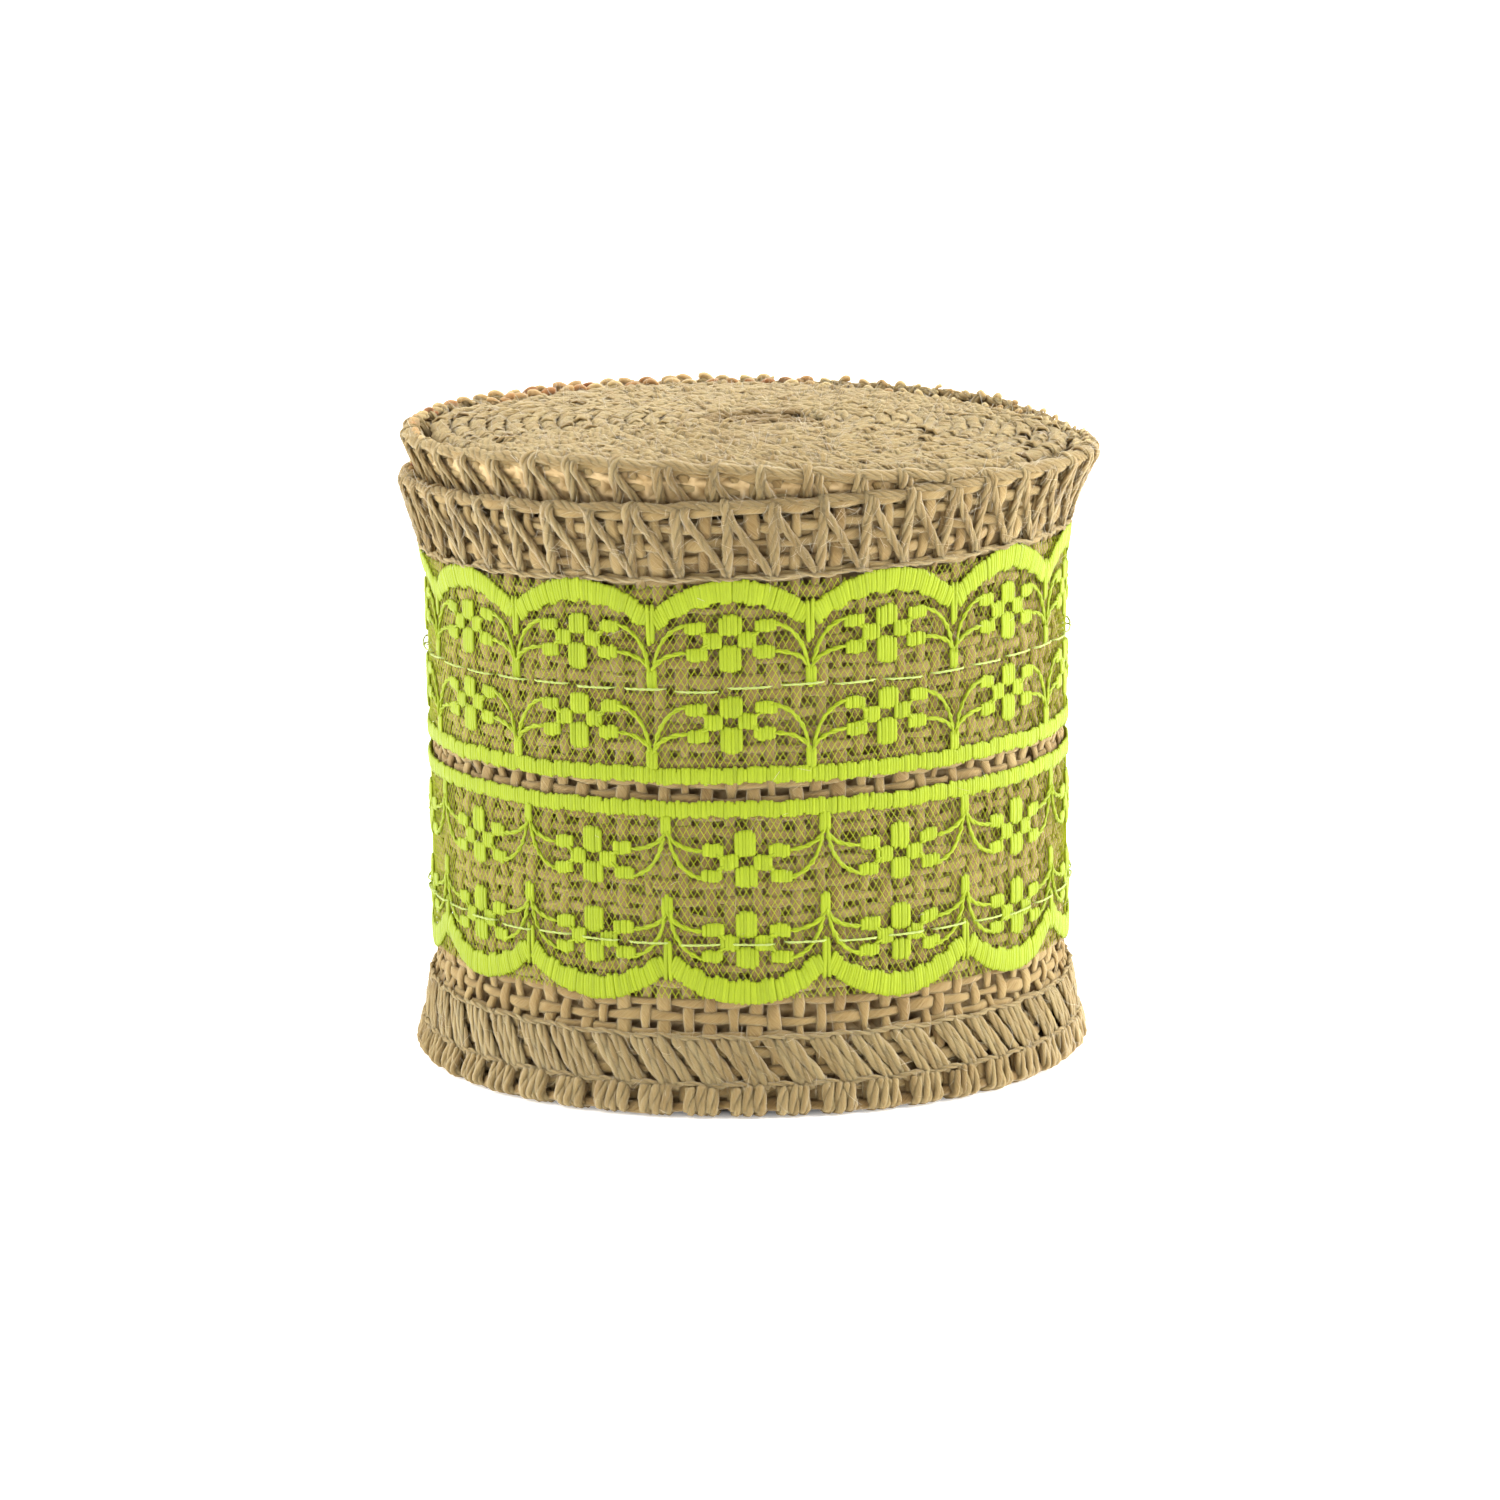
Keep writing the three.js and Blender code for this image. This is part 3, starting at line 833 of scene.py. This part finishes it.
seedOf = {"weave": 11, "upper": 23, "lower": 31, "knots": 37, "lace": 41, "net": 43, "stitch": 47,
          "fuzz": 53, "lining": 59}
clothPieces = []
for index, stretch in enumerate(stretches):
    limits = float(alongAt(stretch["low"])), float(alongAt(stretch["high"]))
    long = limits[1] - limits[0]
    name = stretch["name"]
    rng = {key: np.random.default_rng(seed + 100 * index) for key, seed in seedOf.items()}
    wovenTape = weave(rng["weave"], *limits, cloth["low"], cloth["high"], cloth["inside"])
    woven = addPiece(f"woven_jute_{name}", wovenTape, jute)
    made = [
        addPiece(f"hem_lining_{name}", hemLining(rng["lining"], *limits), jute),
        addPiece(f"upper_hem_yarn_{name}", upperOverlock(rng["upper"], *limits), juteSoft),
        addPiece(f"lower_hem_yarn_{name}", lowerOverlock(rng["lower"], *limits), juteSoft),
        addPiece(f"hem_knots_{name}", edgeKnots(rng["knots"], *limits), juteKnot),
    ]
    for side in ("upper", "lower"):
        seam = laceStitching(rng["stitch"], lace[side]["seam"], *limits)
        made += [
            addPiece(f"{side}_lace_pattern_{name}", laceStrip(rng["lace"], side, *limits), lime),
            addPiece(f"{side}_lace_net_{name}", laceNet(rng["net"], side, *limits), limeNet),
            addPiece(f"{side}_lace_seam_{name}", seam, paleThread),
        ]
    fibres = looseFibres(rng["fuzz"], int(fuzz["tape"] * long / 180), *limits, fuzz["tapeSpots"])
    made.append(addPiece(f"loose_fibres_{name}", fibres, juteFuzz))
    for piece in [woven] + made:
        settle(piece, stretch)
    clothPieces.append((name, woven, made, long))
    print("made stretch", name)

# The rest of the tape is seen edge on. Its cloth is one closed strip, thick at both hems, and the stitched
# edges lie on it.
coil = {
    "from": 440,  # degrees in from the free end
    "step": 1.6,
    "edgeStep": 1.1,
    "heights": [0.5, 0.75, 1.4, 3.9, 7.6, 9, 14, 22, 30, 38, 46, 51.5, 55, 58.2, 58.9],
    "half": [0.1, 0.36, 0.55, 0.55, 0.5, 0.31, 0.3, 0.3, 0.3, 0.3, 0.31, 0.36, 0.5, 0.42, 0.1],
    "roll": (1.95, 0.75),
    "wrap": (1.05, 0.45),
    "curlPaintedShade": 0.12,  # painted shade: a darker, browner tone for the curled end, which lies in the shade of the core
}
innerEnd = roll["length"] + roll["curl"]


# The stitched edge of the coil: a roll of four twisted plies, with wraps of yarn over it at each stitch,
# three above and one below.
def coilEdge(rng, lowAlong, highAlong, upper, tone=0.55):
    sign, edge = (1, 59.45) if upper else (-1, 1.1)
    run = np.arange(lowAlong, highAlong, coil["edgeStep"])[None]
    out, height = -0.25 + 0.12 * np.sin(run * 0.9), edge + sign * 0.12 * np.sin(stitchWave(run))
    parts = [pliedYarn(rng, run, out, height, "away", *coil["roll"], 4, 4.6, sides=4, tone=tone)]
    starts = stitchesIn(lowAlong, highAlong, 0.0 if upper else overlock["lowerShift"])[:, None]
    n = len(starts)
    t = np.linspace(0.6, 2.4, 7)[None]
    wide, deep = coil["wrap"]
    for lean in (0, 1, 2) if upper else (0,):
        out, height = overEdge(t, 0.45, -0.95, 55.0, 59.75 - 0.05 * lean, 2.6)
        out, height = np.repeat(out, n, 0), np.repeat(height if upper else 60.5 - height, n, 0)
        along = starts + rng.normal(0, 0.3, (n, 1)) + (1.4 + 0.6 * (1.5 - t)) * lean
        height = height + rng.normal(0, 0.15, (n, 1))
        parts.append(pliedYarn(rng, along, out, height, "length", wide - 0.12 * lean, deep, 2, 6.0,
                               sides=4, tone=tone - 0.08 * lean))
    return together(parts)


# Natural jute cloth, plain woven, 2.13 mm between the upright yarns and 1.66 mm between the round ones: light
# yarns with painted shade in the holes between them. Its colours are lighter than the yarns of the turn outside
# it, as painted light for the shade seen through that turn's holes.
# Only slivers of it show, inside the coil.
def wovenJuteWithPaintedShade():
    material, tree, shader = newMaterial("plain_woven_jute_painted_hole_shade", 0.92, 0.1)
    uv = addNode(tree, "ShaderNodeUVMap", uv_map="yarn")
    split = addNode(tree, "ShaderNodeSeparateXYZ", {"Vector": (uv, "UV")})
    waves = []
    for axis, pitch in (("X", cloth["uprightPitch"]), ("Y", cloth["roundPitch"])):
        angle = addNode(tree, "ShaderNodeMath", {0: (split, axis)}, {1: 2 * math.pi / pitch},
                        operation="MULTIPLY")
        waves.append(addNode(tree, "ShaderNodeMath", {0: (angle, 0)}, operation="COSINE"))
    weaveHeight = addNode(tree, "ShaderNodeMath", {0: (waves[0], 0), 1: (waves[1], 0)},
                          operation="MAXIMUM")
    body = addNode(tree, "ShaderNodeTexCoord")
    patch = addNode(tree, "ShaderNodeTexNoise", {"Vector": (body, "Object")}, {"Scale": 900.0, "Detail": 4.0})
    shade = addNode(tree, "ShaderNodeMath", {0: (weaveHeight, 0), 2: (patch, 0)}, {1: 0.22},
                    operation="MULTIPLY_ADD")
    # painted shade: the ramp turns the low parts of the weave, the holes, dark; its stops are lighter than the
    # outer yarns as painted light
    ramp = addNode(tree, "ShaderNodeValToRGB", {"Fac": (shade, 0)})
    setRamp(ramp, [(0.2, "#80643c"), (0.5, "#ad9060"), (0.8, "#c9ae80")])
    bump = addNode(tree, "ShaderNodeBump", {"Height": (weaveHeight, 0)},
                   {"Strength": 0.8, "Distance": 0.0003})
    tree.links.new(ramp.outputs[0], shader.inputs["Base Color"])
    tree.links.new(bump.outputs[0], shader.inputs["Normal"])
    return material


rng = np.random.default_rng(71)
coilRun = np.arange(alongAt(coil["from"]), innerEnd - 2, coil["step"])
coilStrip = closedStrip(rng, coilRun, coil["heights"], coil["half"], -0.25, 0.45)
innerCloth = addPiece("coil_jute_cloth", coilStrip, wovenJuteWithPaintedShade())
secondTurn = float(alongAt(detailEnd)), float(alongAt(800))
curlStart = roll["length"] - 12
secondHem = weave(rng, *secondTurn, 50.0, cloth["high"], 5.0, False)
coilPieces = [
    addPiece("second_turn_upper_hem_cloth", secondHem, jute),
    addPiece("second_turn_hem_lining", hemLining(rng, *secondTurn, ("upper",)), jute),
    addPiece("second_turn_upper_hem_yarn", upperOverlock(rng, *secondTurn), juteSoft),
    addPiece("second_turn_hem_knots", edgeKnots(rng, *secondTurn), juteKnot),
    addPiece("coil_upper_hem_yarn", coilEdge(rng, secondTurn[1], curlStart, True), juteSoft),
    # painted shade: the curled end's yarn takes the darker tone that stands for the core's shade
    addPiece("curled_end_upper_hem_yarn", coilEdge(rng, curlStart, innerEnd - 3, True, coil["curlPaintedShade"]),
             juteSoft),
    addPiece("coil_lower_hem_yarn", coilEdge(rng, secondTurn[0], innerEnd - 3, False), juteSoft),
]
fibres = looseFibres(rng, fuzz["coil"], secondTurn[0], innerEnd - 5, fuzz["coilSpots"], (0.8, 2.4))
coilPieces.append(addPiece("coil_loose_fibres", fibres, juteFuzz))
for piece in [innerCloth] + coilPieces:
    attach(piece, "roll")
print("coil made")

# Each made layer and the CAD layer that it stands for.
layers = {
    "woven_jute": "jute_cloth",
    "upper_hem_yarn": "upper_overlock",
    "lower_hem_yarn": "lower_overlock",
    "upper_lace_pattern": "upper_lace",
    "lower_lace_pattern": "lower_lace",
    "upper_lace_seam": "upper_lace_stitching",
    "lower_lace_seam": "lower_lace_stitching",
}


for name, woven, made, long in clothPieces:
    node = "roll" if name.startswith("roll") else name
    if name != "roll_inner":
        for key, layer in layers.items():
            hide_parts(f"{layer}_{node}")

stage = {
    "floor": 6.0,
    "white": "#ffffff",
    "world": 0.46,
    "glow": 0.5,
    "glowFrom": 0.029,  # the floor's glow comes up between these distances from the middle
    "glowTo": 0.033,
    # softboxes: place, size and power, each facing the middle of the roll
    "softboxes": [((-0.8, -0.05, 0.4), 1.0, 13.0), ((0.8, -0.05, 0.4), 1.0, 20.0),
                  ((0.0, 0.25, 0.9), 1.0, 7.0)],
}


# Matt white paper. Its glow, which keeps the background white, stops short of the roll's underside.
def whitePaper(name, code):
    material = bpy.data.materials.new(name)
    material.use_nodes = True
    tree = material.node_tree
    shader = tree.nodes["Principled BSDF"]
    body = addNode(tree, "ShaderNodeTexCoord")
    far = addNode(tree, "ShaderNodeVectorMath", {0: (body, "Object")}, operation="LENGTH")
    glow = addNode(tree, "ShaderNodeMapRange", {"Value": (far, "Value")},
                   {"From Min": stage["glowFrom"], "From Max": stage["glowTo"], "To Max": stage["glow"]})
    tree.links.new(glow.outputs[0], shader.inputs["Emission Strength"])
    shader.inputs["Base Color"].default_value = linear(code)
    shader.inputs["Roughness"].default_value = 1.0
    shader.inputs["Specular IOR Level"].default_value = 0.0
    shader.inputs["Emission Color"].default_value = linear(code)
    return material


mesh = bpy.data.meshes.new("floor")
corners = [(x * stage["floor"], y * stage["floor"], -0.0002) for x, y in ((-1, -1), (1, -1), (1, 1), (-1, 1))]
mesh.from_pydata(corners, [], [(0, 1, 2, 3)])
floor = bpy.data.objects.new("floor", mesh)
floor.data.materials.append(whitePaper("matt_white_paper", stage["white"]))
bpy.context.scene.collection.objects.link(floor)

world = bpy.data.worlds.new("soft_white_room")
world.use_nodes = True
background = world.node_tree.nodes["Background"]
background.inputs["Color"].default_value = (1, 1, 1, 1)
background.inputs["Strength"].default_value = stage["world"]
bpy.context.scene.world = world

for number, (place, size, power) in enumerate(stage["softboxes"]):
    lamp = bpy.data.lights.new(f"softbox_{number + 1}", "AREA")
    lamp.shape, lamp.size, lamp.energy = "SQUARE", size, power
    lampObject = bpy.data.objects.new(lamp.name, lamp)
    bpy.context.scene.collection.objects.link(lampObject)
    away = unit(np.array(place) - np.array((0, 0, 0.03)))
    side = unit(np.cross((0, 0, 1), away) if abs(away[2]) < 0.99 else np.array((1.0, 0, 0)))
    axes = np.stack([side, np.cross(away, side), away], 1)
    matrix = np.eye(4)
    matrix[:3, :3], matrix[:3, 3] = axes, place
    lampObject.matrix_world = Matrix(matrix.tolist())

# Angles in radians, and the lens for a sensor 36 mm wide.
camera = {
    "target": (0.00015, 0.0, 0.02928),
    "away": 0.6829,
    "elevation": 0.20371,
    "roll": 0.0135,
    "lens": 36 * 6849.36 / 1500,
}
sight = bpy.data.objects.new("camera", bpy.data.cameras.new("camera"))
bpy.context.scene.collection.objects.link(sight)
lift = camera["elevation"]
back = np.array((0, -math.cos(lift), math.sin(lift)))
right, up = np.array((1.0, 0, 0)), np.array((0, math.sin(lift), math.cos(lift)))
c, s = math.cos(camera["roll"]), math.sin(camera["roll"])
matrix = np.eye(4)
matrix[:3, 0], matrix[:3, 1], matrix[:3, 2] = c * right - s * up, s * right + c * up, back
matrix[:3, 3] = np.array(camera["target"]) + camera["away"] * back
sight.matrix_world = Matrix(matrix.tolist())
sight.data.sensor_width, sight.data.lens = 36, camera["lens"]
sight.data.clip_start, sight.data.clip_end = 0.05, 30
bpy.context.scene.camera = sight
bpy.context.scene.view_settings.view_transform = "Standard"
print("stage, lights and camera set")
